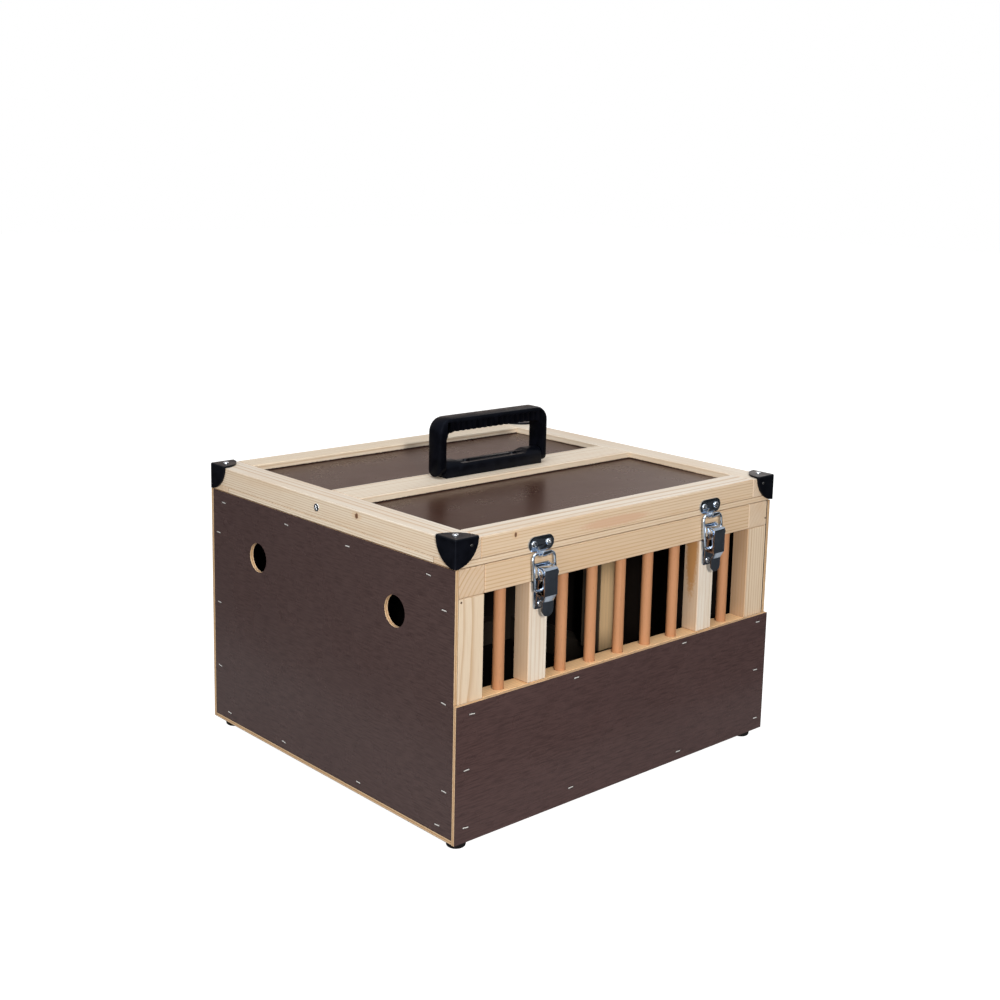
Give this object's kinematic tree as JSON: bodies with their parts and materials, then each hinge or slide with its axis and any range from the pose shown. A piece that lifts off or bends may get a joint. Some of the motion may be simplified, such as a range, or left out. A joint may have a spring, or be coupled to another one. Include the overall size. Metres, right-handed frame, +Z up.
{
  "type": "small animal carrying box",
  "caption": "Wooden carrying box for a small animal: spruce frame, brown ply walls, dowel grille in the front, hinged lid with a folding carry handle and toggle latches.",
  "frame": {"origin": "on the ground, under the middle of the box's bounding box", "axes": "+Z up, -Y out of the grille at the front, +X to the right seen from the front"},
  "size_m": [0.4042, 0.385, 0.3206],
  "materials": {
    "spruce": "planed, unfinished",
    "beech": "turned, unfinished",
    "brown_ply": "film-faced, satin",
    "black_plastic": "moulded, satin",
    "zinc": "bright zinc plate",
    "rubber": "matt"
  },
  "bodies": {
    "box": {"floor_panel": "brown_ply", "front_panel": "brown_ply", "back_panel": "brown_ply", "left_side_panel": "brown_ply", "right_side_panel": "brown_ply", "front_left_post": "spruce", "front_right_post": "spruce", "back_left_post": "spruce", "back_right_post": "spruce", "left_centre_post": "spruce", "right_centre_post": "spruce", "left_mullion": "spruce", "right_mullion": "spruce", "front_top_rail": "spruce", "back_top_rail": "spruce", "left_top_rail": "spruce", "right_top_rail": "spruce", "front_bottom_rail": "spruce", "back_bottom_rail": "spruce", "left_bottom_rail": "spruce", "right_bottom_rail": "spruce", "grille_sill": "spruce", "grille_dowel_1": "beech", "grille_dowel_2": "beech", "grille_dowel_3": "beech", "grille_dowel_4": "beech", "grille_dowel_5": "beech", "grille_dowel_6": "beech", "grille_dowel_7": "beech", "front_left_foot": "rubber", "front_right_foot": "rubber", "back_left_foot": "rubber", "back_right_foot": "rubber", "left_latch_base": "zinc", "right_latch_base": "zinc", "left_hinge_box_leaf": "zinc", "right_hinge_box_leaf": "zinc"},
    "lid": {"lid_left_rail": "spruce", "lid_right_rail": "spruce", "lid_front_rail": "spruce", "lid_back_rail": "spruce", "lid_middle_rail": "spruce", "lid_front_panel": "brown_ply", "lid_back_panel": "brown_ply", "lid_slat_frame": "spruce", "front_left_corner_cap": "black_plastic", "front_right_corner_cap": "black_plastic", "back_left_corner_cap": "black_plastic", "back_right_corner_cap": "black_plastic", "handle_base": "black_plastic", "left_latch_catch": "zinc", "right_latch_catch": "zinc", "left_hinge_lid_leaf": "zinc", "right_hinge_lid_leaf": "zinc"},
    "handle": {"handle_grip": "black_plastic"},
    "left_lever": {"left_latch_lever": "zinc"},
    "right_lever": {"right_latch_lever": "zinc"},
    "left_bail": {"left_latch_bail": "zinc"},
    "right_bail": {"right_latch_bail": "zinc"}
  },
  "joints": [
    {"name": "lid_hinge", "type": "hinge", "parent": "box", "child": "lid", "pos_m": [0, 0.1895, 0.2403], "axis": [-1, 0, 0], "range_deg": [0, 195]},
    {"name": "handle_fold", "type": "hinge", "parent": "lid", "child": "handle", "pos_m": [0, 0.0085, 0.2746], "axis": [-1, 0, 0], "range_deg": [-90, 90]},
    {"name": "left_lever_throw", "type": "hinge", "parent": "box", "child": "left_lever", "pos_m": [-0.108, -0.187, 0.2243], "axis": [-1, 0, 0], "range_deg": [0, 90]},
    {"name": "right_lever_throw", "type": "hinge", "parent": "box", "child": "right_lever", "pos_m": [0.108, -0.187, 0.2243], "axis": [-1, 0, 0], "range_deg": [0, 90]},
    {"name": "left_bail_swing", "type": "hinge", "parent": "left_lever", "child": "left_bail", "pos_m": [-0.108, -0.186, 0.2098], "axis": [-1, 0, 0], "range_deg": [-58.5, 0]},
    {"name": "right_bail_swing", "type": "hinge", "parent": "right_lever", "child": "right_bail", "pos_m": [0.108, -0.186, 0.2098], "axis": [-1, 0, 0], "range_deg": [-58.5, 0]}
  ],
  "couplings": [
    {"joint": "left_bail_swing", "follows": "left_lever_throw", "ratio": -0.65},
    {"joint": "right_bail_swing", "follows": "right_lever_throw", "ratio": -0.65}
  ]
}
